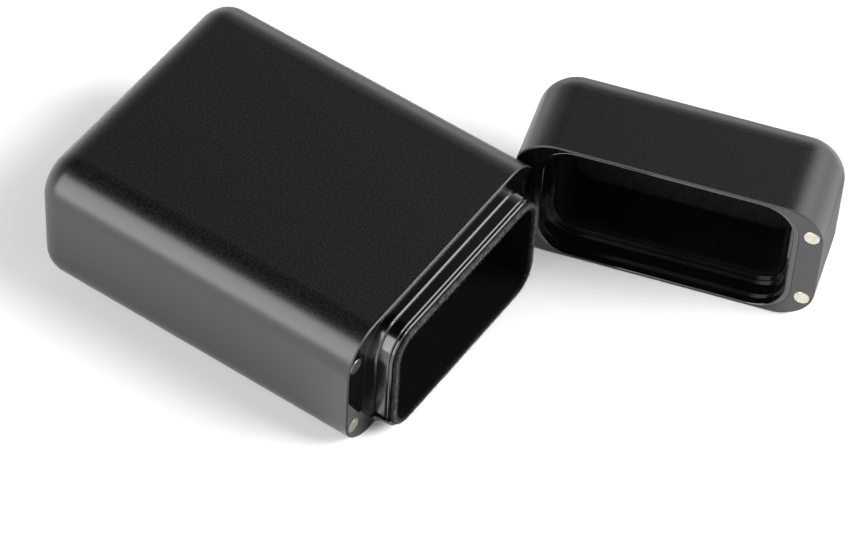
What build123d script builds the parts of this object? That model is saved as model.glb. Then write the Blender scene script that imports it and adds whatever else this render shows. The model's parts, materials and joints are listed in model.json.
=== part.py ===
from build123d import *

import os
from math import cos, radians, sin

# Faraday key box: a machined aluminium case in two halves, a body with a stepped neck
# and a lid that swings shut over that neck. It lies on one wide face.
# X runs across the width with the hinge at +X and the magnets at -X, the mouth of the
# body faces -Y, and +Z is up through the thickness. The origin is the middle of the
# body's underside. The lid stands open beside the mouth.
# All lengths are in millimetres and all angles in degrees.

# ---- Whole case ----
case_width = 60.0
case_thickness = 30.0
body_length = 72.0
lid_length = 22.5
section_radius = 8.0
body_end_round = 5.5
lid_end_round = 6.5
edge_break = 0.25
seam_break = 0.1
closing_gap = 0.15
open_angle = 107.0

# ---- Walls: the narrow ends are thick because they hold the magnets and the hinge ----
end_wall = 7.0
face_wall = 2.5
closed_end_wall = 2.5
corner_ease = 0.4
swing_relief = 0.5

# ---- Neck frame of the body, from its flange outwards ----
flange_end_inset = 5.05
flange_face_inset = 0.5
flange_thickness = 1.0
collar_end_inset = 6.05
collar_face_inset = 0.95
collar_height = 1.8
spigot_face_inset = 1.55
spigot_height = 4.05
tenon_step = 0.5
tenon_height = 4.75
neck_break = 0.28
tail_wall = 0.8
tail_depth = 7.0

# ---- Shield ring round the tenon ----
ring_gap = 0.22
ring_height = 0.45
ring_stand = 0.42
ring_break = 0.22

# ---- Seat frame in the lid, which takes the neck ----
seat_end_gap = 0.3
seat_face_gap = 0.15
seat_step_depth = 2.0
seat_depth = 5.8
seat_flange_depth = 2.6
seat_flange_end = 1.15
seat_flange_face = 0.35
seat_wall = 0.45

# ---- Felt lining and the ring that holds its edge in the lid ----
liner_thickness = 1.1
liner_lip = 0.3
liner_lip_height = 0.7
body_pad_thickness = 1.6
lid_pad_thickness = 2.6
retainer_width = 0.5
retainer_height = 0.8

# ---- Magnets ----
magnet_diameter = 3.3
magnet_thickness = 2.0
magnet_inset = 2.3
magnet_spacing = 17.4
magnet_break = 0.15

# ---- Hinge ----
hinge_inset = 1.6
hinge_set_back = 2.4
recess_width = 3.8
recess_length = 21.4
recess_corner = 0.6
lid_recess_depth = 1.25
leaf_thickness = 0.9
leaf_play = 0.1
knuckle_radius = 1.4
knuckle_stand = 0.4
knuckle_web = 1.6
middle_knuckle_length = 3.2
outer_knuckle_length = 5.4
knuckle_gap = 0.15
pin_radius = 0.6
pin_clearance = 0.04
pin_break = 0.12
pin_access = 0.15

# ---- Hinge screws ----
screw_inset = 1.95
screw_spacing = 17.4
screw_head_diameter = 2.2
screw_head_depth = 0.5
screw_taper = 45.0
screw_shank_diameter = 1.2
screw_length = 3.6
screw_slot_width = 0.32
screw_slot_depth = 0.22

# ---- Lengths that follow from the ones above ----
mid_height = case_thickness / 2
hinge_x = case_width / 2 - hinge_inset
hinge_y = hinge_set_back - body_length / 2
lid_set_back = hinge_set_back + closing_gap
body_recess_depth = hinge_set_back + knuckle_radius + knuckle_stand + leaf_thickness
body_pocket_depth = body_length - closed_end_wall
lid_pocket_depth = lid_length - closed_end_wall
magnet_x = magnet_inset - case_width / 2
magnet_rise = magnet_spacing / 2
screw_x = case_width / 2 - screw_inset
screw_rise = screw_spacing / 2
middle_knuckle_end = middle_knuckle_length / 2
outer_knuckle_start = middle_knuckle_end + knuckle_gap
outer_knuckle_end = outer_knuckle_start + outer_knuckle_length

# ---- Outlines of the box section, each given by how far it lies inside the case:
# ---- at the magnet end, at the hinge end, and at the two wide faces.
case_outline = (0.0, 0.0, 0.0)
leaf_limit = (leaf_play, leaf_play, leaf_play)
flange = (flange_end_inset, flange_end_inset, flange_face_inset)
collar = (collar_end_inset, collar_end_inset, collar_face_inset)
spigot = (collar_end_inset + swing_relief, collar_end_inset, spigot_face_inset)
tenon = tuple(inset + tenon_step for inset in spigot)
shield_ring = tuple(inset - ring_stand for inset in tenon)
body_bore = (end_wall + swing_relief, end_wall, face_wall)
neck_tail = tuple(inset - tail_wall for inset in body_bore)
liner_tip = tuple(inset - liner_lip for inset in body_bore)
body_felt_bore = tuple(inset + liner_thickness for inset in body_bore)
seat_mouth = (
    collar_end_inset - seat_end_gap,
    collar_end_inset - seat_end_gap,
    collar_face_inset - seat_face_gap,
)
seat_throat = (collar_end_inset, collar_end_inset - seat_end_gap, spigot_face_inset - seat_face_gap)
seat_flange = (
    seat_mouth[0] - seat_flange_end,
    seat_mouth[1] - seat_flange_end,
    seat_mouth[2] - seat_flange_face,
)
seat_tail = tuple(inset - seat_wall for inset in seat_throat)
retainer_bore = tuple(inset + retainer_width for inset in seat_throat)
lid_bore = (end_wall, end_wall, face_wall)
lid_felt_bore = tuple(inset + liner_thickness for inset in lid_bore)

# ---- Planes. The mouth plane faces out of the body, the rim plane faces into the lid,
# ---- and on both of them X runs from the magnets to the hinge and Y runs up.
mouth = Plane(origin=(0, -body_length / 2, mid_height), x_dir=(1, 0, 0), z_dir=(0, -1, 0))
body_axis = Plane(origin=(hinge_x, hinge_y, mid_height), x_dir=(1, 0, 0), z_dir=(0, 0, 1))
swing = radians(open_angle)
lid_axis = Plane(
    origin=(hinge_x, hinge_y, mid_height),
    x_dir=(cos(swing), sin(swing), 0),
    z_dir=(0, 0, 1),
)
rim = Plane(
    origin=lid_axis.from_local_coords((-hinge_x, -lid_set_back, 0)),
    x_dir=lid_axis.x_dir,
    z_dir=-lid_axis.y_dir,
)
into_lid = Axis((0, 0, 0), rim.z_dir)
body_leaf_back = mouth.offset(-body_recess_depth)
body_leaf_front = body_leaf_back.offset(leaf_thickness)
lid_leaf_back = rim.offset(lid_recess_depth)
lid_leaf_front = lid_leaf_back.offset(-leaf_thickness)


def outline(insets, mode=Mode.ADD):
    """Draw the rounded box section that lies the given insets inside the case."""
    magnet_end, hinge_end, faces = insets
    ease = corner_ease if faces > edge_break else 0.0
    with Locations(((magnet_end - hinge_end) / 2, 0)):
        RectangleRounded(
            case_width - magnet_end - hinge_end,
            case_thickness - 2 * faces,
            section_radius - faces - ease,
            mode=mode,
        )


def recess_shape(play=0.0):
    """Draw the hinge recess, open at the narrow side, or a leaf that fits it with play."""
    with Locations((case_width / 2, 0)):
        RectangleRounded(
            2 * (recess_width - play),
            recess_length - 2 * play,
            recess_corner - play,
        )


def magnet_circles(radius):
    """Draw the upper and the lower magnet circle."""
    with Locations((magnet_x, magnet_rise), (magnet_x, -magnet_rise)):
        Circle(radius)


def drive_screw(face, depth_sign, rise, mode):
    """Add or cut a countersunk screw whose head is flush with the given face."""
    with BuildSketch(face) as head:
        with Locations((screw_x, rise)):
            Circle(screw_head_diameter / 2)
    extrude(head.sketch, amount=depth_sign * screw_head_depth, taper=screw_taper, mode=mode)
    with BuildSketch(face) as shank:
        with Locations((screw_x, rise)):
            Circle(screw_shank_diameter / 2)
    extrude(shank.sketch, amount=depth_sign * screw_length, mode=mode)


def cut_screw_slot(face, depth_sign, rise):
    """Cut the driver slot into a screw head."""
    with BuildSketch(face) as slot:
        with Locations((screw_x, rise)):
            Rectangle(screw_head_diameter, screw_slot_width)
    extrude(slot.sketch, amount=depth_sign * screw_slot_depth, mode=Mode.SUBTRACT)


# ---- Body shell ----
with BuildPart() as body_shell:
    with BuildSketch(mouth):
        outline(case_outline)
    extrude(amount=-body_length)
    fillet(body_shell.faces().sort_by(Axis.Y)[-1].edges(), body_end_round)
    chamfer(body_shell.faces().sort_by(Axis.Y)[0].edges(), edge_break)
    with BuildSketch(mouth):
        outline(body_bore)
    extrude(amount=-body_pocket_depth, mode=Mode.SUBTRACT)
    with BuildSketch(mouth):
        outline(neck_tail)
    extrude(amount=-tail_depth, mode=Mode.SUBTRACT)
    with BuildSketch(mouth):
        outline(flange)
    extrude(amount=-flange_thickness, mode=Mode.SUBTRACT)
    with BuildSketch(mouth):
        magnet_circles(magnet_diameter / 2)
    extrude(amount=-magnet_thickness, mode=Mode.SUBTRACT)
    with BuildSketch(mouth):
        recess_shape()
    extrude(amount=-body_recess_depth, mode=Mode.SUBTRACT)
    drive_screw(body_leaf_front, -1, screw_rise, Mode.SUBTRACT)
    drive_screw(body_leaf_front, -1, -screw_rise, Mode.SUBTRACT)
    with BuildSketch(body_axis):
        Circle(pin_radius + pin_access)
    extrude(amount=-mid_height, mode=Mode.SUBTRACT)

# ---- Neck frame: flange, collar, spigot and tenon, with a tail inside the body ----
with BuildPart() as body_neck_frame:
    with BuildSketch(mouth):
        outline(flange)
    extrude(amount=-flange_thickness)
    chamfer(body_neck_frame.faces().sort_by(Axis.Y)[0].edges(), seam_break)
    with BuildSketch(mouth):
        outline(collar)
    extrude(amount=collar_height)
    chamfer(body_neck_frame.faces().sort_by(Axis.Y)[0].edges(), neck_break)
    with BuildSketch(mouth):
        outline(spigot)
    extrude(amount=spigot_height)
    chamfer(body_neck_frame.faces().sort_by(Axis.Y)[0].edges(), neck_break)
    with BuildSketch(mouth):
        outline(tenon)
    extrude(amount=tenon_height)
    with BuildSketch(mouth):
        outline(neck_tail)
    extrude(amount=-tail_depth)
    with BuildSketch(mouth.offset(-tail_depth)):
        outline(body_bore)
    extrude(amount=tail_depth + tenon_height, mode=Mode.SUBTRACT)

# ---- Shield ring round the tenon, between two grooves ----
with BuildPart() as body_shield_ring:
    with BuildSketch(mouth.offset(spigot_height + ring_gap)):
        outline(shield_ring)
    extrude(amount=ring_height)
    chamfer(body_shield_ring.faces().sort_by(Axis.Y)[0].edges(), ring_break)
    with BuildSketch(mouth.offset(tenon_height)):
        outline(tenon)
    extrude(amount=spigot_height - tenon_height, mode=Mode.SUBTRACT)

# ---- Felt sleeve of the body, with the lip that covers the end of the tenon ----
with BuildPart() as body_liner_sleeve:
    with BuildSketch(mouth.offset(tenon_height)):
        outline(liner_tip)
    extrude(amount=liner_lip_height)
    with BuildSketch(mouth.offset(tenon_height)):
        outline(body_bore)
    extrude(amount=body_pad_thickness - body_pocket_depth - tenon_height)
    with BuildSketch(mouth.offset(body_pad_thickness - body_pocket_depth)):
        outline(body_felt_bore)
    extrude(
        amount=body_pocket_depth - body_pad_thickness + tenon_height + liner_lip_height,
        mode=Mode.SUBTRACT,
    )

# ---- Felt pad on the closed end of the body ----
with BuildPart() as body_liner_pad:
    with BuildSketch(mouth.offset(-body_pocket_depth)):
        outline(body_bore)
    extrude(amount=body_pad_thickness)

# ---- Magnets of the body ----
with BuildPart() as body_magnet_upper:
    with BuildSketch(mouth):
        with Locations((magnet_x, magnet_rise)):
            Circle(magnet_diameter / 2)
    extrude(amount=-magnet_thickness)
    chamfer(body_magnet_upper.faces().sort_by(Axis.Y)[0].edges(), magnet_break)

with BuildPart() as body_magnet_lower:
    with BuildSketch(mouth):
        with Locations((magnet_x, -magnet_rise)):
            Circle(magnet_diameter / 2)
    extrude(amount=-magnet_thickness)
    chamfer(body_magnet_lower.faces().sort_by(Axis.Y)[0].edges(), magnet_break)

# ---- Body hinge leaf with the two outer knuckles ----
with BuildPart() as body_hinge_leaf:
    with BuildSketch(body_leaf_back):
        recess_shape(leaf_play)
        outline(leaf_limit, mode=Mode.INTERSECT)
    extrude(amount=leaf_thickness)
    for side in (1, -1):
        with BuildSketch(body_axis.offset(side * outer_knuckle_start)):
            Circle(knuckle_radius)
            Rectangle(
                knuckle_web,
                knuckle_radius + knuckle_stand,
                align=(Align.CENTER, Align.MIN),
            )
            Circle(pin_radius, mode=Mode.SUBTRACT)
        extrude(amount=side * outer_knuckle_length)
    drive_screw(body_leaf_front, -1, screw_rise, Mode.SUBTRACT)
    drive_screw(body_leaf_front, -1, -screw_rise, Mode.SUBTRACT)

# ---- Screws of the body hinge leaf ----
with BuildPart() as body_hinge_screw_upper:
    drive_screw(body_leaf_front, -1, screw_rise, Mode.ADD)
    cut_screw_slot(body_leaf_front, -1, screw_rise)

with BuildPart() as body_hinge_screw_lower:
    drive_screw(body_leaf_front, -1, -screw_rise, Mode.ADD)
    cut_screw_slot(body_leaf_front, -1, -screw_rise)

# ---- Hinge pin ----
with BuildPart() as hinge_pin:
    with BuildSketch(body_axis.offset(-outer_knuckle_end)):
        Circle(pin_radius)
    extrude(amount=2 * outer_knuckle_end)
    chamfer(hinge_pin.edges().filter_by(GeomType.CIRCLE), pin_break)

# ---- Lid shell ----
with BuildPart() as lid_shell:
    with BuildSketch(rim):
        outline(case_outline)
    extrude(amount=lid_length)
    fillet(lid_shell.faces().sort_by(into_lid)[-1].edges(), lid_end_round)
    chamfer(lid_shell.faces().sort_by(into_lid)[0].edges(), edge_break)
    with BuildSketch(rim):
        outline(lid_bore)
    extrude(amount=lid_pocket_depth, mode=Mode.SUBTRACT)
    with BuildSketch(rim):
        outline(seat_tail)
    extrude(amount=seat_depth, mode=Mode.SUBTRACT)
    with BuildSketch(rim):
        outline(seat_flange)
    extrude(amount=seat_flange_depth, mode=Mode.SUBTRACT)
    with BuildSketch(rim):
        magnet_circles(magnet_diameter / 2)
    extrude(amount=magnet_thickness, mode=Mode.SUBTRACT)
    with BuildSketch(rim):
        recess_shape()
    extrude(amount=lid_recess_depth, mode=Mode.SUBTRACT)
    drive_screw(lid_leaf_front, 1, screw_rise, Mode.SUBTRACT)
    drive_screw(lid_leaf_front, 1, -screw_rise, Mode.SUBTRACT)

# ---- Seat frame: the flanged ring with the stepped bore that takes the neck ----
with BuildPart() as lid_seat_frame:
    with BuildSketch(rim):
        outline(seat_flange)
    extrude(amount=seat_flange_depth)
    with BuildSketch(rim):
        outline(seat_tail)
    extrude(amount=seat_depth)
    with BuildSketch(rim):
        outline(seat_throat)
    extrude(amount=seat_depth, mode=Mode.SUBTRACT)
    with BuildSketch(rim):
        outline(seat_mouth)
    extrude(amount=seat_step_depth, mode=Mode.SUBTRACT)
    chamfer(lid_seat_frame.faces().sort_by(into_lid)[0].edges(), seam_break)

# ---- Retainer ring at the inner end of the seat ----
with BuildPart() as lid_liner_retainer:
    with BuildSketch(rim.offset(seat_depth - retainer_height)):
        outline(seat_throat)
        outline(retainer_bore, mode=Mode.SUBTRACT)
    extrude(amount=retainer_height)

# ---- Felt sleeve and felt pad of the lid ----
with BuildPart() as lid_liner_sleeve:
    with BuildSketch(rim.offset(seat_depth)):
        outline(lid_bore)
        outline(lid_felt_bore, mode=Mode.SUBTRACT)
    extrude(amount=lid_pocket_depth - lid_pad_thickness - seat_depth)

with BuildPart() as lid_liner_pad:
    with BuildSketch(rim.offset(lid_pocket_depth - lid_pad_thickness)):
        outline(lid_bore)
    extrude(amount=lid_pad_thickness)

# ---- Magnets of the lid ----
with BuildPart() as lid_magnet_upper:
    with BuildSketch(rim):
        with Locations((magnet_x, magnet_rise)):
            Circle(magnet_diameter / 2)
    extrude(amount=magnet_thickness)
    chamfer(lid_magnet_upper.faces().sort_by(into_lid)[0].edges(), magnet_break)

with BuildPart() as lid_magnet_lower:
    with BuildSketch(rim):
        with Locations((magnet_x, -magnet_rise)):
            Circle(magnet_diameter / 2)
    extrude(amount=magnet_thickness)
    chamfer(lid_magnet_lower.faces().sort_by(into_lid)[0].edges(), magnet_break)

# ---- Lid hinge leaf with the middle knuckle ----
with BuildPart() as lid_hinge_leaf:
    with BuildSketch(lid_leaf_back):
        recess_shape(leaf_play)
        outline(leaf_limit, mode=Mode.INTERSECT)
    extrude(amount=-leaf_thickness)
    with BuildSketch(lid_axis.offset(-middle_knuckle_end)):
        Circle(knuckle_radius)
        Rectangle(
            knuckle_web,
            lid_set_back + lid_recess_depth - leaf_thickness,
            align=(Align.CENTER, Align.MAX),
        )
        Circle(pin_radius + pin_clearance, mode=Mode.SUBTRACT)
    extrude(amount=middle_knuckle_length)
    drive_screw(lid_leaf_front, 1, screw_rise, Mode.SUBTRACT)
    drive_screw(lid_leaf_front, 1, -screw_rise, Mode.SUBTRACT)

# ---- Screws of the lid hinge leaf ----
with BuildPart() as lid_hinge_screw_upper:
    drive_screw(lid_leaf_front, 1, screw_rise, Mode.ADD)
    cut_screw_slot(lid_leaf_front, 1, screw_rise)

with BuildPart() as lid_hinge_screw_lower:
    drive_screw(lid_leaf_front, 1, -screw_rise, Mode.ADD)
    cut_screw_slot(lid_leaf_front, 1, -screw_rise)

# ---- Labels and export ----
body_shell.part.label = "body_shell"
body_neck_frame.part.label = "body_neck_frame"
body_shield_ring.part.label = "body_shield_ring"
body_liner_sleeve.part.label = "body_liner_sleeve"
body_liner_pad.part.label = "body_liner_pad"
body_magnet_upper.part.label = "body_magnet_upper"
body_magnet_lower.part.label = "body_magnet_lower"
body_hinge_leaf.part.label = "body_hinge_leaf"
body_hinge_screw_upper.part.label = "body_hinge_screw_upper"
body_hinge_screw_lower.part.label = "body_hinge_screw_lower"
hinge_pin.part.label = "hinge_pin"
lid_shell.part.label = "lid_shell"
lid_seat_frame.part.label = "lid_seat_frame"
lid_liner_retainer.part.label = "lid_liner_retainer"
lid_liner_sleeve.part.label = "lid_liner_sleeve"
lid_liner_pad.part.label = "lid_liner_pad"
lid_magnet_upper.part.label = "lid_magnet_upper"
lid_magnet_lower.part.label = "lid_magnet_lower"
lid_hinge_leaf.part.label = "lid_hinge_leaf"
lid_hinge_screw_upper.part.label = "lid_hinge_screw_upper"
lid_hinge_screw_lower.part.label = "lid_hinge_screw_lower"

os.makedirs("parts", exist_ok=True)
export_step(body_shell.part, "parts/body_shell.step")
export_step(body_neck_frame.part, "parts/body_neck_frame.step")
export_step(body_shield_ring.part, "parts/body_shield_ring.step")
export_step(body_liner_sleeve.part, "parts/body_liner_sleeve.step")
export_step(body_liner_pad.part, "parts/body_liner_pad.step")
export_step(body_magnet_upper.part, "parts/body_magnet_upper.step")
export_step(body_magnet_lower.part, "parts/body_magnet_lower.step")
export_step(body_hinge_leaf.part, "parts/body_hinge_leaf.step")
export_step(body_hinge_screw_upper.part, "parts/body_hinge_screw_upper.step")
export_step(body_hinge_screw_lower.part, "parts/body_hinge_screw_lower.step")
export_step(hinge_pin.part, "parts/hinge_pin.step")
export_step(lid_shell.part, "parts/lid_shell.step")
export_step(lid_seat_frame.part, "parts/lid_seat_frame.step")
export_step(lid_liner_retainer.part, "parts/lid_liner_retainer.step")
export_step(lid_liner_sleeve.part, "parts/lid_liner_sleeve.step")
export_step(lid_liner_pad.part, "parts/lid_liner_pad.step")
export_step(lid_magnet_upper.part, "parts/lid_magnet_upper.step")
export_step(lid_magnet_lower.part, "parts/lid_magnet_lower.step")
export_step(lid_hinge_leaf.part, "parts/lid_hinge_leaf.step")
export_step(lid_hinge_screw_upper.part, "parts/lid_hinge_screw_upper.step")
export_step(lid_hinge_screw_lower.part, "parts/lid_hinge_screw_lower.step")
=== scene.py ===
import json
import math
import random

import bmesh
import bpy
from bpy.props import FloatProperty, FloatVectorProperty, IntProperty, PointerProperty
from mathutils import Matrix, Vector, noise


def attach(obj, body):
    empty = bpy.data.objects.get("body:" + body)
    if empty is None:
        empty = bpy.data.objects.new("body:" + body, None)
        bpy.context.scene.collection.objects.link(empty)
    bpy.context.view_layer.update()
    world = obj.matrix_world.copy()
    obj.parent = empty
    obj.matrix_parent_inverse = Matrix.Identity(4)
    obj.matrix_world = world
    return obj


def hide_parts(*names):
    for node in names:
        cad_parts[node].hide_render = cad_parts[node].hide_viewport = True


bl_info = {
    "name": "Hinged Key Box",
    "version": (1, 0, 0),
    "blender": (4, 5, 0),
    "location": "3D View > Sidebar > Key Box",
    "description": "Finishes a hinged metal key box and sets up a small studio round it",
    "category": "Object",
}

MM = 0.001

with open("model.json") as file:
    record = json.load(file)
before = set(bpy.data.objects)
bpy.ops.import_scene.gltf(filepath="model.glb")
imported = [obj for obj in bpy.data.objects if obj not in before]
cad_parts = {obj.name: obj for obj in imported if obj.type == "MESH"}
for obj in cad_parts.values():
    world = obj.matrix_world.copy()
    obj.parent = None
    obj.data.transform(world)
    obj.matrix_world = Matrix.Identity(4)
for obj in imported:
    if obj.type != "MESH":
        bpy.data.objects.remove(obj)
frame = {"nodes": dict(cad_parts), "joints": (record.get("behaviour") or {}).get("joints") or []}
NODES = frame["nodes"]
HINGE = frame["joints"][0]
SHUT_ANGLE = math.radians(HINGE["range_deg"][0])
HINGE_PLACE = Vector(HINGE["pos_m"])
OPEN_LID = (
    Matrix.Translation(HINGE_PLACE)
    @ Matrix.Rotation(-SHUT_ANGLE, 4, Vector(HINGE["axis"]))
    @ Matrix.Translation(-HINGE_PLACE)
)
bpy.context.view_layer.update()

# Sizes of the box in millimetres, as the pieces below need them.
HALF_WIDTH = 30.0
THICKNESS = 30.0
SECTION_RADIUS = 7.6
BODY_MOUTH = -36.0
LID_MOUTH = -36.15

# Bores as (magnet end, hinge end, wide faces) insets from the outside of the case.
BODY_BORE = (7.5, 7.0, 2.5)
LID_BORE = (7.0, 7.0, 2.5)

# Felt: depths along each bore, out of the body's mouth and into the lid.
FELT_THICKNESS = 1.1
FELT_WOBBLE = 0.05
BODY_FELT_END = -67.9
BODY_PAD_BACK = -69.5
NECK_TIP = 4.76
FELT_TIP = 5.45
LIP_RADIUS = 0.7
LID_SEAT_END = 5.8
LID_FELT_END = 17.6
LID_PAD_FRONT = 17.4
LID_PAD_BACK = 20.0

# Points round a section: steps in a corner, and along a wide and a narrow side.
CORNER_STEPS = 8
SIDE_STEPS = (30, 16)

# Where the lights point, the faint warm tint of the left ones, and each softbox by name:
# place, width and height in metres, setting that holds its power, and colour.
LIT_POINT = (0.02, -0.02, 0.01)
WHITE = (1.0, 1.0, 1.0)
WARM = (1.0, 0.985, 0.965)
SOFTBOXES = {
    "key light": ((0.36, -0.83, 0.77), (0.68, 0.6), "key_power", WHITE),
    "left light": ((-0.97, 0.4, 0.55), (1.2, 1.05), "left_power", WARM),
    "rear light": ((-0.58, 1.04, 0.55), (0.3, 1.05), "rear_power", WARM),
    "right light": ((0.93, -0.35, 0.64), (0.6, 0.5), "right_power", WHITE),
    "edge light": ((0.51, -0.71, 0.31), (0.32, 0.22), "edge_power", WHITE),
}
UNMIRRORED = ("rear light",)

# Grey of the room light against the height it comes from, level with the box to overhead.
ROOM_TINT = (0.985, 0.97, 1.0)
ROOM_GREYS = (
    (0.0, 1.0), (0.12, 0.88), (0.2, 0.6), (0.3, 0.4), (0.45, 0.25),
    (0.6, 0.175), (0.71, 0.14), (0.745, 0.03), (0.78, 0.0), (0.87, 0.0),
)
ROOM_STRENGTH = 1.56

# Cards that only reflections see, as painted reflections: the black card stands in for a dark object before
# the mouth, the charcoal and grey cards for shade on the floor. Darkest and palest tone, height, and outlines
# on the floor in millimetres.
CARDS = {
    "black card": (
        (0.006, 0.012), 6.0,
        (
            (
                (-24.6, -37.0), (-23.6, -42.0), (-28.0, -57.0), (-28.0, -71.0), (-24.0, -80.0),
                (-9.0, -81.0), (2.0, -72.0), (16.0, -60.0), (32.0, -52.0), (36.0, -37.0),
            ),
        ),
    ),
    "charcoal card": (
        (0.05, 0.06), 0.2,
        (((-24.5, -40.0), (-24.5, -52.0), (-44.0, -52.0), (-44.0, -40.0)),),
    ),
    "grey card": (
        (0.36, 0.38), 0.3,
        (
            ((-44.0, -36.0), (-44.0, -40.0), (-24.5, -40.0), (-24.5, -46.0), (20.0, -46.0), (20.0, -36.0)),
            ((46.0, -90.0), (100.0, -100.0), (100.0, -76.0), (70.0, -82.5)),
            ((75.0, -45.0), (300.0, -80.0), (300.0, 130.0), (75.0, 90.0)),
        ),
    ),
}


# ---------------------------------------------------------------------------
# Settings
# ---------------------------------------------------------------------------


class StageSettings(bpy.types.PropertyGroup):
    """Camera, floor and lights."""

    azimuth: FloatProperty(
        name="Azimuth",
        description="Camera bearing round the box",
        default=math.radians(-58.109),
        subtype="ANGLE",
    )
    elevation: FloatProperty(
        name="Elevation",
        description="Camera height above the horizon",
        default=math.radians(50.426),
        subtype="ANGLE",
    )
    roll: FloatProperty(
        name="Roll",
        description="Turn of the camera about its own line of sight",
        default=math.radians(3.641),
        subtype="ANGLE",
    )
    distance: FloatProperty(
        name="Distance",
        description="From the camera to the point it looks at",
        default=0.77781,
        unit="LENGTH",
    )
    target: FloatVectorProperty(
        name="Target",
        description="Point that the camera looks at",
        default=(0.014167, -0.023227, 0.0),
        unit="LENGTH",
    )
    lens: FloatProperty(
        name="Lens",
        description="Focal length in millimetres on a 36 mm sensor",
        default=172.67,
    )
    floor_color: FloatVectorProperty(
        name="Floor colour",
        description="Colour of the pale floor",
        default=(0.87, 0.87, 0.875),
        size=3,
        subtype="COLOR",
        min=0.0,
        max=1.0,
    )
    key_power: FloatProperty(
        name="Key power",
        description="Power of the main light",
        default=20.2,
        unit="POWER",
    )
    left_power: FloatProperty(
        name="Left power",
        description="Power of the softbox on the left",
        default=15.84,
        unit="POWER",
    )
    rear_power: FloatProperty(
        name="Rear power",
        description="Power of the fill behind on the left, which no reflection shows",
        default=4.0,
        unit="POWER",
    )
    right_power: FloatProperty(
        name="Right power",
        description="Power of the faint softbox on the right",
        default=1.4,
        unit="POWER",
    )
    edge_power: FloatProperty(
        name="Edge power",
        description="Power of the low strip that lights the bevels",
        default=0.65,
        unit="POWER",
    )


class MetalSettings(bpy.types.PropertyGroup):
    """Black anodised aluminium of the case and its frames."""

    case_color: FloatVectorProperty(
        name="Case colour",
        description="Dye of the blasted shells",
        default=(0.0028, 0.0028, 0.003),
        size=3,
        subtype="COLOR",
        min=0.0,
        max=1.0,
    )
    frame_color: FloatVectorProperty(
        name="Frame colour",
        description="Dye of the turned frames",
        default=(0.0014, 0.0014, 0.0015),
        size=3,
        subtype="COLOR",
        min=0.0,
        max=1.0,
    )
    grain_size: FloatProperty(
        name="Grain size",
        description="Width of the pits left by blasting",
        default=0.0004,
        precision=5,
        unit="LENGTH",
    )


class FeltSettings(bpy.types.PropertyGroup):
    """Grey felt lining."""

    # Painted shade: the sleeves are black felt darkened further, darker than the pads, to stand in for the
    # shade inside the bores.
    shaded_sleeve_color: FloatVectorProperty(
        name="Sleeve colour",
        description="Colour of the felt sleeves",
        default=(0.0018, 0.0018, 0.002),
        size=3,
        subtype="COLOR",
        min=0.0,
        max=1.0,
    )
    pad_color: FloatVectorProperty(
        name="Pad colour",
        description="Colour of the felt pads",
        default=(0.0072, 0.0072, 0.0074),
        size=3,
        subtype="COLOR",
        min=0.0,
        max=1.0,
    )
    # Painted light: the paler lip stands in for light falling on the felt's rolled edge, against the shaded
    # inside.
    lit_lip_color: FloatVectorProperty(
        name="Lip colour",
        description="Colour of the felt where it is rubbed",
        default=(0.041, 0.041, 0.042),
        size=3,
        subtype="COLOR",
        min=0.0,
        max=1.0,
    )
    fibre_length: FloatProperty(
        name="Fibre length",
        description="Length of the longest loose fibres",
        default=0.0004,
        precision=5,
        unit="LENGTH",
    )
    fibre_width: FloatProperty(
        name="Fibre width",
        description="Width of a loose fibre",
        default=0.000035,
        precision=6,
        unit="LENGTH",
    )
    fibre_count: IntProperty(
        name="Fibres",
        description="Loose fibres on the edge of the body's lining",
        default=6500,
    )


# ---------------------------------------------------------------------------
# Shader helpers
# ---------------------------------------------------------------------------


def feed(tree, socket, value):
    """Give an input a constant, or link another socket to it."""
    if isinstance(value, bpy.types.NodeSocket):
        tree.links.new(value, socket)
    else:
        socket.default_value = value


def feed_named(tree, node, values):
    """Feed the inputs that the keys of values name, with _ for a space."""
    for name, value in values.items():
        feed(tree, node.inputs[name.replace("_", " ")], value)


def add_node(tree, kind, **values):
    """Add a node and feed its inputs."""
    node = tree.nodes.new(kind)
    feed_named(tree, node, values)
    return node


def use_group(tree, group, **values):
    """Place a node group in a material and feed its inputs."""
    node = tree.nodes.new("ShaderNodeGroup")
    node.node_tree = group
    feed_named(tree, node, values)
    return node


def math_node(tree, operation, *values):
    """Add a Math node; each operand is a socket or a number."""
    node = tree.nodes.new("ShaderNodeMath")
    node.operation = operation
    for socket, value in zip(node.inputs, values):
        feed(tree, socket, value)
    return node.outputs["Value"]


def vector_node(tree, operation, *values):
    """Add a Vector Math node; each operand is a socket or a vector."""
    node = tree.nodes.new("ShaderNodeVectorMath")
    node.operation = operation
    for socket, value in zip(node.inputs, values):
        feed(tree, socket, value)
    return node.outputs["Value" if operation == "DOT_PRODUCT" else "Vector"]


def coordinates(tree, kind="Object"):
    """Texture coordinates of the given kind."""
    return tree.nodes.new("ShaderNodeTexCoord").outputs[kind]


def noise_node(tree, **values):
    """Add a noise texture that is fixed to the object, and return its factor."""
    return add_node(tree, "ShaderNodeTexNoise", Vector=coordinates(tree), **values).outputs["Fac"]


def map_range(tree, value, start, stop, low=0.0, high=1.0):
    """Map a socket's values from start and stop to low and high."""
    node = add_node(
        tree, "ShaderNodeMapRange", Value=value, From_Min=start, From_Max=stop, To_Min=low, To_Max=high
    )
    return node.outputs["Result"]


def mix_colors(tree, factor, first, second):
    """Mix two colours or sockets by a mask."""
    node = tree.nodes.new("ShaderNodeMix")
    node.data_type = "RGBA"
    feed(tree, node.inputs["Factor"], factor)
    for socket, value in ((node.inputs[6], first), (node.inputs[7], second)):
        feed(tree, socket, (*value[:3], 1.0) if isinstance(value, tuple) else value)
    return node.outputs[2]


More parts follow.
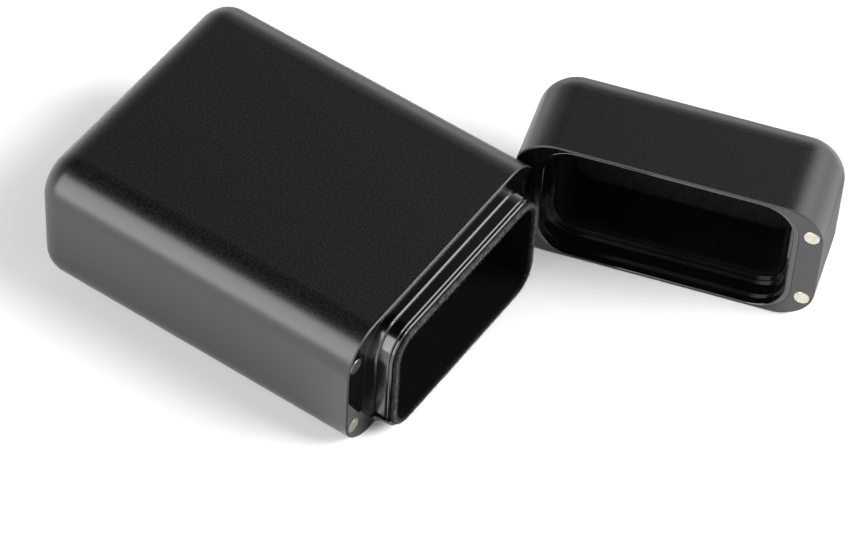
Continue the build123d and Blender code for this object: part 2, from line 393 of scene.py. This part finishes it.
def ramp(tree, source, *stops):
    """Add a colour ramp with the given (position, grey or colour) stops."""
    node = add_node(tree, "ShaderNodeValToRGB", Fac=source)
    elements = node.color_ramp.elements
    while len(elements) < len(stops):
        elements.new(0.5)
    for element, (position, color) in zip(elements, stops):
        element.position = position
        if isinstance(color, (int, float)):
            color = (color, color, color)
        element.color = (*color[:3], 1.0)
    return node.outputs["Color"]


def bump(tree, height, strength, distance):
    """Normals of a bumpy surface."""
    node = add_node(tree, "ShaderNodeBump", Height=height, Strength=strength, Distance=distance)
    return node.outputs["Normal"]


def shade(color, factor):
    """Scale a colour."""
    return tuple(channel * factor for channel in color[:3])


def new_material(name):
    """Make an empty node material and return it with its tree and its Principled BSDF."""
    material = bpy.data.materials.new(name)
    material.use_nodes = True
    tree = material.node_tree
    tree.nodes.clear()
    shader = tree.nodes.new("ShaderNodeBsdfPrincipled")
    add_node(tree, "ShaderNodeOutputMaterial", Surface=shader.outputs["BSDF"])
    return material, tree, shader


# ---------------------------------------------------------------------------
# Node groups that the materials share
# ---------------------------------------------------------------------------


def new_group(name, inputs, outputs):
    """Make a shader node group with number outputs, and return it with its input and output nodes."""
    group = bpy.data.node_groups.new(name, "ShaderNodeTree")
    for socket_name, default in inputs:
        kind = "NodeSocketVector" if isinstance(default, tuple) else "NodeSocketFloat"
        socket = group.interface.new_socket(name=socket_name, in_out="INPUT", socket_type=kind)
        socket.default_value = default
    for socket_name in outputs:
        group.interface.new_socket(name=socket_name, in_out="OUTPUT", socket_type="NodeSocketFloat")
    return group, group.nodes.new("NodeGroupInput"), group.nodes.new("NodeGroupOutput")


def make_blasted_grain():
    """Node group: fine pits of a blasted surface, with slow unevenness on top."""
    group, start, end = new_group(
        "Blasted grain",
        [("Pit size", 0.0002), ("Pit depth", 0.5), ("Unevenness", 0.5)],
        ["Height", "Cloud", "Speck"],
    )
    scale = math_node(group, "DIVIDE", 1.0, start.outputs["Pit size"])
    pits = noise_node(group, Scale=scale, Detail=2.0, Roughness=0.6)
    cloud = noise_node(group, Scale=55.0, Detail=4.0, Roughness=0.55)
    pit_height = math_node(group, "MULTIPLY", pits, start.outputs["Pit depth"])
    cloud_height = math_node(group, "MULTIPLY", cloud, start.outputs["Unevenness"])
    height = math_node(group, "ADD", pit_height, cloud_height)
    feed_named(group, end, {"Height": height, "Cloud": cloud, "Speck": pits})
    return group


def make_machined_face():
    """Node group: Mask is 1 on the milled face that looks the given way, Edge is 1 on the bevel round it."""
    group, start, end = new_group("Machined face", [("Facing", (0.0, -1.0, 0.0))], ["Mask", "Edge"])
    facing = vector_node(group, "DOT_PRODUCT", coordinates(group, "Normal"), start.outputs["Facing"])
    off_bevel = math_node(group, "ABSOLUTE", math_node(group, "SUBTRACT", facing, 0.707))
    edge = math_node(group, "LESS_THAN", off_bevel, 0.03)
    feed_named(group, end, {"Mask": map_range(group, facing, 0.75, 0.92), "Edge": edge})
    return group


def make_dust():
    """Node group: a few small specks of dust, far apart."""
    group, start, end = new_group(
        "Dust specks", [("Spacing", 0.004), ("Speck size", 0.00012), ("Share", 0.3)], ["Mask"]
    )
    scale = math_node(group, "DIVIDE", 1.0, start.outputs["Spacing"])
    cells = add_node(group, "ShaderNodeTexVoronoi", Vector=coordinates(group), Scale=scale)
    reach = math_node(group, "DIVIDE", start.outputs["Speck size"], start.outputs["Spacing"])
    split = add_node(group, "ShaderNodeSeparateColor", Color=cells.outputs["Color"])
    kept = math_node(group, "LESS_THAN", split.outputs["Red"], start.outputs["Share"])
    uneven = math_node(group, "MULTIPLY", reach, math_node(group, "ADD", split.outputs["Green"], 0.4))
    near = math_node(group, "LESS_THAN", cells.outputs["Distance"], uneven)
    feed(group, end.inputs["Mask"], math_node(group, "MULTIPLY", near, kept))
    return group


def make_felt_fuzz():
    """Node group: tufts and crossing fibres of pressed felt."""
    group, start, end = new_group(
        "Felt fuzz", [("Fibre size", 0.0004), ("Tuft size", 0.0012)], ["Height", "Tone"]
    )
    place = coordinates(group)
    bend = add_node(group, "ShaderNodeTexNoise", Vector=place, Scale=900.0, Detail=1.0)
    bent = vector_node(group, "MULTIPLY_ADD", bend.outputs["Color"], (0.0006, 0.0006, 0.0006), place)
    scale = math_node(group, "DIVIDE", 1.0, start.outputs["Fibre size"])
    strands = []
    for turn in ((0.0, 0.4, 0.9), (0.7, 1.3, 0.2), (1.6, 0.2, 2.1)):
        lay = add_node(group, "ShaderNodeMapping", Vector=bent, Rotation=turn, Scale=(1.0, 1.0, 0.18))
        strand = add_node(
            group, "ShaderNodeTexNoise", Vector=lay.outputs["Vector"], Scale=scale, Detail=2.0, Roughness=0.5
        )
        strands.append(strand.outputs["Fac"])
    fibres = math_node(group, "MAXIMUM", math_node(group, "MAXIMUM", strands[0], strands[1]), strands[2])
    tuft_scale = math_node(group, "DIVIDE", 1.0, start.outputs["Tuft size"])
    tufts = noise_node(group, Scale=tuft_scale, Detail=3.0, Roughness=0.6)
    fibre_part = math_node(group, "MULTIPLY", fibres, 0.7)
    tuft_part = math_node(group, "MULTIPLY", tufts, 0.5)
    fuzz = math_node(group, "ADD", fibre_part, tuft_part)
    feed_named(group, end, {"Height": fuzz, "Tone": fuzz})
    return group


GROUP_MAKERS = {
    "Blasted grain": make_blasted_grain,
    "Machined face": make_machined_face,
    "Dust specks": make_dust,
    "Felt fuzz": make_felt_fuzz,
}


def shared_group(name):
    """A node group that the materials share, made when it is first asked for."""
    return bpy.data.node_groups.get(name) or GROUP_MAKERS[name]()


# ---------------------------------------------------------------------------
# Materials
# ---------------------------------------------------------------------------


def dusty(tree, color, grey, spacing, speck_size, share):
    """Put specks of dust of the given grey on a colour."""
    dust = use_group(
        tree, shared_group("Dust specks"), Spacing=spacing, Speck_size=speck_size, Share=share
    )
    return mix_colors(tree, dust.outputs["Mask"], color, (grey, grey, grey))


def case_material(settings, name, facing):
    """Bead-blasted, black anodised shell, with a smoother milled face round its opening."""
    material, tree, shader = new_material(name)
    detail = use_group(
        tree, shared_group("Blasted grain"), Pit_size=settings.grain_size, Pit_depth=0.8, Unevenness=0.3
    )
    milled = use_group(tree, shared_group("Machined face"), Facing=facing)
    dye = settings.case_color
    color = ramp(tree, detail.outputs["Speck"], (0.4, shade(dye, 0.4)), (0.6, shade(dye, 1.7)))
    blasted = ramp(tree, detail.outputs["Speck"], (0.4, 0.288), (0.6, 0.334))
    cut = ramp(tree, detail.outputs["Cloud"], (0.3, 0.06), (0.7, 0.10))
    faces = mix_colors(tree, milled.outputs["Mask"], blasted, cut)
    pitted = math_node(tree, "SUBTRACT", 1.03, milled.outputs["Mask"])
    pits = math_node(tree, "MULTIPLY", detail.outputs["Height"], pitted)
    feed_named(tree, shader, {
        "Base_Color": dusty(tree, color, 0.10, 0.005, 0.00011, 0.3),
        "Roughness": mix_colors(tree, milled.outputs["Edge"], faces, (0.55, 0.55, 0.55)),
        "Normal": bump(tree, pits, 0.14, 0.00005),
        "IOR": 1.68,
    })
    return material


def frame_material(settings):
    """Fine-turned, black anodised frame, glossier than the shells."""
    material, tree, shader = new_material("Turned black frame")
    detail = use_group(
        tree, shared_group("Blasted grain"),
        Pit_size=settings.grain_size * 0.7, Pit_depth=0.3, Unevenness=0.15,
    )
    dye = settings.frame_color
    color = ramp(tree, detail.outputs["Cloud"], (0.3, shade(dye, 0.8)), (0.7, shade(dye, 1.2)))
    feed_named(tree, shader, {
        "Base_Color": dusty(tree, color, 0.10, 0.004, 0.00009, 0.25),
        "Roughness": ramp(tree, detail.outputs["Cloud"], (0.3, 0.14), (0.7, 0.19)),
        "Normal": bump(tree, detail.outputs["Height"], 0.015, 0.00003),
        "IOR": 1.83,
    })
    return material


def lit_lip_mask(tree, middle):
    """Painted light: 1 on the wide outer faces of a sleeve's rolled edge, less at its narrow ends, 0 on its
    inside.
    """
    arm = vector_node(tree, "SUBTRACT", coordinates(tree), middle)
    outward = vector_node(tree, "DOT_PRODUCT", arm, coordinates(tree, "Normal"))
    outer_half = map_range(tree, outward, -0.007, -0.0005)
    wide_side = map_range(tree, outward, 0.006, 0.02, 1.0, 0.3)
    return math_node(tree, "MULTIPLY", outer_half, wide_side)


def felt_material(name, color, lit=None):
    """Pressed felt; with lit, (colour, middle of the sleeve), its outer half pales to that colour as painted
    light on the lip.
    """
    material, tree, shader = new_material(name)
    fuzz = use_group(tree, shared_group("Felt fuzz"), Fibre_size=0.00035, Tuft_size=0.0011)
    tone = ramp(tree, fuzz.outputs["Tone"], (0.45, shade(color, 0.45)), (0.85, shade(color, 1.7)))
    if lit:
        lit_color, middle = lit
        # painted light: the outer half of the rolled lip pales to the lit colour
        worn = ramp(tree, fuzz.outputs["Tone"], (0.5, shade(lit_color, 0.15)), (0.8, shade(lit_color, 2.0)))
        tone = mix_colors(tree, lit_lip_mask(tree, middle), tone, worn)
    feed_named(tree, shader, {
        "Base_Color": dusty(tree, tone, 0.07, 0.005, 0.00014, 0.3),
        "Normal": bump(tree, fuzz.outputs["Height"], 0.7, 0.0002),
        "Roughness": 0.95,
        "Specular_IOR_Level": 0.08,
    })
    return material


def mottled_material(name, scale, *stops):
    """Matt surface whose tone changes with the noise between the given stops."""
    material, tree, shader = new_material(name)
    feed_named(tree, shader, {
        "Base_Color": ramp(tree, noise_node(tree, Scale=scale, Detail=2.0), *stops),
        "Roughness": 0.9,
        "Specular_IOR_Level": 0.1,
    })
    return material


def fibre_material(name, color):
    """Loose fibre with slow changes of tone."""
    return mottled_material(name, 1400.0, (0.35, shade(color, 0.3)), (0.65, shade(color, 1.7)))


def magnet_material():
    """Nickel-plated magnet, scuffed by its mate."""
    material, tree, shader = new_material("Nickel magnet")
    scuff = noise_node(tree, Scale=2500.0, Detail=4.0, Roughness=0.6)
    patch = noise_node(tree, Scale=620.0, Detail=3.0, Roughness=0.7)
    plating = ramp(tree, scuff, (0.35, (0.46, 0.43, 0.35)), (0.65, (0.61, 0.59, 0.50)))
    worn = ramp(tree, patch, (0.56, 0.0), (0.72, 0.7))
    feed_named(tree, shader, {
        "Base_Color": mix_colors(tree, worn, plating, (0.26, 0.22, 0.16)),
        "Roughness": ramp(tree, scuff, (0.35, 0.24), (0.65, 0.40)),
        "Metallic": 1.0,
    })
    return material


def hinge_material():
    """Blackened steel of the hinge."""
    material, tree, shader = new_material("Blackened steel")
    detail = use_group(
        tree, shared_group("Blasted grain"), Pit_size=0.00015, Pit_depth=0.4, Unevenness=0.3
    )
    feed_named(tree, shader, {
        "Base_Color": ramp(
            tree, detail.outputs["Cloud"], (0.3, (0.027, 0.027, 0.028)), (0.7, (0.05, 0.05, 0.053))
        ),
        "Roughness": ramp(tree, detail.outputs["Speck"], (0.35, 0.3), (0.65, 0.42)),
        "Metallic": 1.0,
    })
    return material


# ---------------------------------------------------------------------------
# Stage
# ---------------------------------------------------------------------------


def link(thing):
    """Put an object in the scene."""
    bpy.context.scene.collection.objects.link(thing)
    return thing


def flat_mesh(name, outlines, material):
    """Make an object of one flat face per outline."""
    points, faces = [], []
    for outline in outlines:
        faces.append(tuple(range(len(points), len(points) + len(outline))))
        points += outline
    mesh = bpy.data.meshes.new(name)
    mesh.from_pydata(points, [], faces)
    mesh.materials.append(material)
    return link(bpy.data.objects.new(name, mesh))


def aim(thing, place, target):
    """Place a light or camera and point it at the target."""
    thing.location = place
    thing.rotation_mode = "QUATERNION"
    thing.rotation_quaternion = (Vector(target) - Vector(place)).to_track_quat("-Z", "Y")


def add_camera(settings):
    """Camera at the set bearing, height and roll."""
    data = bpy.data.cameras.new("Camera")
    data.lens = settings.lens
    data.sensor_width = 36.0
    data.clip_start = 0.01
    data.clip_end = 50.0
    camera = link(bpy.data.objects.new("Camera", data))
    azimuth, elevation = settings.azimuth, settings.elevation
    back = Vector(
        (
            math.sin(azimuth) * math.cos(elevation),
            -math.cos(azimuth) * math.cos(elevation),
            math.sin(elevation),
        )
    )
    right = (-back).cross(Vector((0, 0, 1))).normalized()
    up = right.cross(-back)
    turned_right = math.cos(settings.roll) * right + math.sin(settings.roll) * up
    turned_up = -math.sin(settings.roll) * right + math.cos(settings.roll) * up
    pose = Matrix((turned_right, turned_up, back)).transposed().to_4x4()
    pose.translation = Vector(settings.target) + back * settings.distance
    camera.matrix_world = pose
    bpy.context.scene.camera = camera


def add_softboxes(settings):
    """Rectangular lights, all aimed at the box."""
    for name, (place, size, power, color) in SOFTBOXES.items():
        data = bpy.data.lights.new(name, "AREA")
        data.shape = "RECTANGLE"
        data.size, data.size_y = size
        data.energy = getattr(settings, power)
        data.color = color
        light = link(bpy.data.objects.new(name, data))
        light.visible_glossy = name not in UNMIRRORED
        aim(light, place, LIT_POINT)


def add_floor(settings):
    """Large pale floor with a soft unevenness."""
    half = 6.0
    paper = mottled_material(
        "Pale paper floor", 6.0, (0.3, shade(settings.floor_color, 0.985)), (0.7, settings.floor_color)
    )
    corners = [(-half, -half, 0), (half, -half, 0), (half, half, 0), (-half, half, 0)]
    flat_mesh("floor", [corners], paper)


def add_cards():
    """Black and grey cards that only reflections see: painted reflections of a dark object and of shade on
    the floor, so that the milled faces stay dark.
    """
    for name, (tones, height, outlines) in CARDS.items():
        card = flat_mesh(
            name,
            [[Vector((x, y, height)) * MM for x, y in outline] for outline in outlines],
            mottled_material(name, 400.0, (0.3, tones[0]), (0.7, tones[1])),
        )
        card.visible_camera = False
        card.visible_diffuse = False
        card.visible_shadow = False
        card.visible_transmission = False


def add_world():
    """Room light, bright round the horizon and dark overhead; the dark leans back and away from the right."""
    world = bpy.data.worlds.new("Studio")
    bpy.context.scene.world = world
    world.use_nodes = True
    tree = world.node_tree
    tree.nodes.clear()
    split = add_node(tree, "ShaderNodeSeparateXYZ", Vector=coordinates(tree, "Generated"))
    right = map_range(tree, split.outputs["X"], 0.54, 1.0, 0.0, -0.138)
    behind = map_range(tree, split.outputs["Y"], 0.15, 0.42, -0.12, 0.042)
    height = math_node(tree, "ADD", split.outputs["Z"], math_node(tree, "ADD", right, behind))
    color = ramp(tree, height, *((position, shade(ROOM_TINT, grey)) for position, grey in ROOM_GREYS))
    background = add_node(tree, "ShaderNodeBackground", Color=color, Strength=ROOM_STRENGTH)
    add_node(tree, "ShaderNodeOutputWorld", Surface=background.outputs["Background"])


class KEYBOX_OT_stage(bpy.types.Operator):
    """Add the camera, the floor and the lights"""

    bl_idname = "keybox.stage"
    bl_label = "Stage"

    def execute(self, context):
        settings = context.scene.keybox_stage
        add_camera(settings)
        add_floor(settings)
        add_cards()
        add_world()
        add_softboxes(settings)
        context.scene.view_settings.view_transform = "Standard"
        return {"FINISHED"}


# ---------------------------------------------------------------------------
# Case, hinge and magnets
# ---------------------------------------------------------------------------


def finish_nodes(names, material):
    """Give CAD nodes a material."""
    for name in names:
        slots = NODES[name].data.materials
        slots.clear()
        slots.append(material)


class KEYBOX_OT_case(bpy.types.Operator):
    """Finish the two shells and the frames and rings of their openings"""

    bl_idname = "keybox.case"
    bl_label = "Case"

    def execute(self, context):
        settings = context.scene.keybox_metal
        body_facing = (0.0, -1.0, 0.0)
        lid_facing = tuple(OPEN_LID.to_3x3() @ Vector((0.0, 1.0, 0.0)))
        finish_nodes(["body_shell"], case_material(settings, "Blasted black body", body_facing))
        finish_nodes(["lid_shell"], case_material(settings, "Blasted black lid", lid_facing))
        finish_nodes(
            ["body_neck_frame", "body_shield_ring", "lid_seat_frame", "lid_liner_retainer"],
            frame_material(settings),
        )
        return {"FINISHED"}


class KEYBOX_OT_fittings(bpy.types.Operator):
    """Finish the hinge, its screws and pin, and the four magnets"""

    bl_idname = "keybox.fittings"
    bl_label = "Hinge and Magnets"

    def execute(self, context):
        finish_nodes([name for name in NODES if "hinge" in name], hinge_material())
        finish_nodes([name for name in NODES if "magnet" in name], magnet_material())
        return {"FINISHED"}


# ---------------------------------------------------------------------------
# Felt lining
# ---------------------------------------------------------------------------


def in_body(across, out, height):
    """Place of a point given across the box, out of the mouth and up, in millimetres."""
    return Vector((across, BODY_MOUTH - out, height)) * MM


def in_lid(across, depth, height):
    """Place in the open lid of a point given across the box, into the lid and up, in millimetres."""
    return OPEN_LID @ (Vector((across, LID_MOUTH - depth, height)) * MM)


def section(insets, grow):
    """Points and outward directions of the box section that lies the insets plus grow inside the case."""
    magnet_end, hinge_end, faces = (inset + grow for inset in insets)
    radius = max(SECTION_RADIUS - faces, 0.3)
    left, right = magnet_end - HALF_WIDTH, HALF_WIDTH - hinge_end
    low, high = faces, THICKNESS - faces
    corners = (
        (right - radius, high - radius),
        (left + radius, high - radius),
        (left + radius, low + radius),
        (right - radius, low + radius),
    )
    points = []
    for index, (x, z) in enumerate(corners):
        for step in range(CORNER_STEPS + 1):
            angle = math.radians(90.0 * (index + step / CORNER_STEPS))
            across, up = math.cos(angle), math.sin(angle)
            points.append((x + radius * across, z + radius * up, across, up))
        next_x, next_z = corners[(index + 1) % 4]
        start_x, start_z = points[-1][:2]
        run_x, run_z = next_x + radius * across - start_x, next_z + radius * up - start_z
        for step in range(1, SIDE_STEPS[index % 2]):
            part = step / SIDE_STEPS[index % 2]
            points.append((start_x + run_x * part, start_z + run_z * part, across, up))
    return points


def skin(name, rings, close_last=False):
    """Make a smooth mesh object from rings of points with the same count, the last one filled if asked."""
    count = len(rings[0])
    points = [point for ring in rings for point in ring]
    faces = []
    for ring in range(len(rings) - 1):
        for step in range(count):
            here, there = ring * count + step, ring * count + (step + 1) % count
            faces.append((here, there, there + count, here + count))
    if close_last:
        last = (len(rings) - 1) * count
        middle = len(points)
        points.append(sum(rings[-1], Vector()) / count)
        faces += [(last + step, last + (step + 1) % count, middle) for step in range(count)]
    mesh = bpy.data.meshes.new(name)
    mesh.from_pydata(points, [], faces)
    mesh.validate()
    work = bmesh.new()
    work.from_mesh(mesh)
    bmesh.ops.recalc_face_normals(work, faces=work.faces)
    work.to_mesh(mesh)
    work.free()
    mesh.polygons.foreach_set("use_smooth", [True] * len(mesh.polygons))
    return link(bpy.data.objects.new(name, mesh))


def add_fibres(name, roots, longest, width, seed):
    """Make short bent fibres that stand on the given (point, direction) roots."""
    chance = random.Random(seed)

    def scatter():
        """A random vector with no favoured direction."""
        return Vector((chance.gauss(0, 1), chance.gauss(0, 1), chance.gauss(0, 1)))

    points, faces = [], []
    half = width / 2
    for root, direction in roots:
        along = (direction + 0.75 * scatter()).normalized()
        length = longest * chance.uniform(0.35, 1.0)
        side = along.cross(scatter()).normalized() * half
        bend = scatter() * length * 0.22
        middle = root + along * length * 0.55
        tip = root + along * length + bend
        first = len(points)
        points += [root - side, root + side, middle + side, middle - side, tip]
        faces += [(first, first + 1, first + 2, first + 3), (first + 3, first + 2, first + 4)]
    mesh = bpy.data.meshes.new(name)
    mesh.from_pydata(points, [], faces)
    return link(bpy.data.objects.new(name, mesh))


def surface_roots(insets, profile, place, count, seed):
    """Random (point, direction) pairs on a lining, on the runs of its profile of (grow, out) pairs."""
    chance = random.Random(seed)
    roots = []
    for _ in range(count):
        run = chance.randrange(len(profile) - 1)
        (grow_from, out_from), (grow_to, out_to) = profile[run], profile[run + 1]
        part = chance.random()
        grow, out = grow_from + (grow_to - grow_from) * part, out_from + (out_to - out_from) * part
        size = math.hypot(grow_to - grow_from, out_to - out_from)
        inward, outward = (out_to - out_from) / size, -(grow_to - grow_from) / size
        ring = section(insets, grow)
        first = chance.randrange(len(ring))
        blend = chance.random()
        x, z, across, up = (
            here + (there - here) * blend for here, there in zip(ring[first], ring[(first + 1) % len(ring)])
        )
        root = place(x, out, z)
        ahead = place(x - inward * across, out + outward, z - inward * up)
        roots.append((root, (ahead - root).normalized()))
    return roots


def pad_rings(insets, front, back, crown, place):
    """Rings of a pad that is soft at its edges and swells by the crown, from its back to its middle."""
    thick = back - front
    middle = THICKNESS / 2
    soft_edge = ((0.0, 0.98), (0.0, 0.28), (0.12, 0.13), (0.4, 0.05), (1.0, 0.01), (2.0, -0.01), (4.4, -0.02))
    rings = []
    for grow, share in soft_edge:
        depth = front + thick * share
        rings.append([place(x, depth, z) for x, z, _, _ in section(insets, grow)])
    flat_part = section(insets, soft_edge[-1][0])
    for shrink in (0.8, 0.6, 0.4, 0.2):
        depth = front - math.copysign(crown, thick) * (1.0 - shrink)
        rings.append([place(x * shrink, depth, middle + (z - middle) * shrink) for x, z, _, _ in flat_part])
    return rings


def dress(piece, material, body, slot, *nodes):
    """Give a new piece its material and body, and hide the CAD nodes that it stands for; slot is not used."""
    piece.data.materials.append(material)
    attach(piece, body)
    if nodes:
        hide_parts(*nodes)


def sleeve_rings(insets, inner, roll, outer, place):
    """Rings of a sleeve: along its inside, round its rolled edge and back along its outside."""
    rings = []
    for grow, out in inner + roll + outer:
        ring = []
        for x, z, across, up in section(insets, grow):
            spot = Vector((x, out, z))
            swell = noise.noise(spot * 0.45) + 0.5 * noise.noise(spot * 1.3)
            shift = FELT_WOBBLE * swell if (grow, out) not in outer else 0.0
            ring.append(place(x + across * shift, out + 0.5 * shift, z + up * shift))
        rings.append(ring)
    return rings


def pad_material(settings):
    """Felt of both pads, made when it is first asked for."""
    name = "Grey felt pad"
    return bpy.data.materials.get(name) or felt_material(name, tuple(settings.pad_color))


def full_round(wave, angle):
    """Sine or cosine of a round that is a little fuller than a circle."""
    value = wave(math.radians(angle))
    return math.copysign(abs(value) ** 0.78, value)


class KEYBOX_OT_body_felt(bpy.types.Operator):
    """Line the body with a felt sleeve that rolls over the end of the neck, and a pad at the closed end"""

    bl_idname = "keybox.body_felt"
    bl_label = "Body Felt"

    def execute(self, context):
        settings = context.scene.keybox_felt
        lip_middle, straight_end = 0.4, 3.4
        inner = [(FELT_THICKNESS, BODY_FELT_END + 2.0 * step) for step in range(36)]
        inner.append((FELT_THICKNESS, straight_end))
        roll = [
            (
                lip_middle + LIP_RADIUS * full_round(math.cos, angle),
                FELT_TIP - LIP_RADIUS + LIP_RADIUS * full_round(math.sin, angle),
            )
            for angle in range(0, 181, 15)
        ]
        outer = [(0.0, NECK_TIP), (0.0, BODY_FELT_END)]
        sleeve = skin("body_felt_sleeve", sleeve_rings(BODY_BORE, inner, roll, outer, in_body))
        middle = tuple(in_body(0.25, FELT_TIP, THICKNESS / 2))
        # painted light on the lip, painted shade on the dark inside of the sleeve
        lit = (tuple(settings.lit_lip_color), middle)
        felt = felt_material("Black felt with grey lip", tuple(settings.shaded_sleeve_color), lit)
        dress(sleeve, felt, "body", "felt", "body_liner_sleeve")
        roots = surface_roots(BODY_BORE, roll[1:10], in_body, settings.fibre_count, seed=3)
        fibres = add_fibres(
            "body_felt_fibres", roots, settings.fibre_length, settings.fibre_width, seed=5
        )
        # the loose fibres take a paler copy of the painted lit lip colour
        dress(fibres, fibre_material("Grey felt fibres", shade(settings.lit_lip_color, 1.3)), "body", "felt")
        rings = pad_rings(BODY_BORE, BODY_FELT_END, BODY_PAD_BACK, crown=0.3, place=in_body)
        pad = skin("body_felt_pad", rings, close_last=True)
        dress(pad, pad_material(settings), "body", "felt", "body_liner_pad")
        return {"FINISHED"}


class KEYBOX_OT_lid_felt(bpy.types.Operator):
    """Line the lid with a felt sleeve and a soft pad that meet in a frayed edge"""

    bl_idname = "keybox.lid_felt"
    bl_label = "Lid Felt"

    def execute(self, context):
        settings = context.scene.keybox_felt
        straight_end = 6.1
        inner = [(FELT_THICKNESS, LID_FELT_END - 1.0 * step) for step in range(12)]
        inner.append((FELT_THICKNESS, straight_end))
        roll = [(1.0, 5.88), (0.8, LID_SEAT_END), (0.3, LID_SEAT_END), (0.06, 5.9)]
        outer = [(0.0, straight_end), (0.0, LID_FELT_END)]
        sleeve = skin("lid_felt_sleeve", sleeve_rings(LID_BORE, inner, roll, outer, in_lid))
        # painted shade: the lid's sleeve felt is darkened to stand in for the shade in its bore
        black = felt_material("Black felt sleeve", tuple(settings.shaded_sleeve_color))
        dress(sleeve, black, "lid", "felt", "lid_liner_sleeve")
        rings = pad_rings(LID_BORE, LID_PAD_FRONT, LID_PAD_BACK, crown=0.25, place=in_lid)
        pad = skin("lid_felt_pad", rings, close_last=True)
        dress(pad, pad_material(settings), "lid", "felt", "lid_liner_pad")
        cut_edge = [(FELT_THICKNESS, 16.9), (FELT_THICKNESS, 17.5)]
        pad_edge = [(FELT_THICKNESS, 17.42), (1.9, LID_PAD_FRONT)]
        roots = surface_roots(LID_BORE, cut_edge, in_lid, settings.fibre_count // 2, seed=7)
        roots += surface_roots(LID_BORE, pad_edge, in_lid, settings.fibre_count // 3, seed=8)
        fray = add_fibres(
            "lid_felt_fray", roots, 1.3 * settings.fibre_length, settings.fibre_width, seed=9
        )
        dress(fray, fibre_material("Frayed felt edge", shade(settings.pad_color, 0.8)), "lid", "felt")
        return {"FINISHED"}


class KEYBOX_PT_panel(bpy.types.Panel):
    """Lists the steps in the order they run"""

    bl_label = "Key Box"
    bl_idname = "KEYBOX_PT_panel"
    bl_space_type = "VIEW_3D"
    bl_region_type = "UI"
    bl_category = "Key Box"

    def draw(self, context):
        for operator in OPERATORS:
            self.layout.operator(operator.bl_idname)


OPERATORS = (KEYBOX_OT_stage, KEYBOX_OT_case, KEYBOX_OT_fittings, KEYBOX_OT_body_felt, KEYBOX_OT_lid_felt)
SETTINGS = (StageSettings, MetalSettings, FeltSettings)
CLASSES = (*SETTINGS, *OPERATORS, KEYBOX_PT_panel)


def register():
    for cls in CLASSES:
        bpy.utils.register_class(cls)
    bpy.types.Scene.keybox_stage = PointerProperty(type=StageSettings)
    bpy.types.Scene.keybox_metal = PointerProperty(type=MetalSettings)
    bpy.types.Scene.keybox_felt = PointerProperty(type=FeltSettings)


def unregister():
    del bpy.types.Scene.keybox_felt
    del bpy.types.Scene.keybox_metal
    del bpy.types.Scene.keybox_stage
    for cls in reversed(CLASSES):
        bpy.utils.unregister_class(cls)


def main():
    register()
    bpy.ops.keybox.stage()
    bpy.ops.keybox.case()
    bpy.ops.keybox.fittings()
    bpy.ops.keybox.body_felt()
    bpy.ops.keybox.lid_felt()


if __name__ == "__main__":
    main()
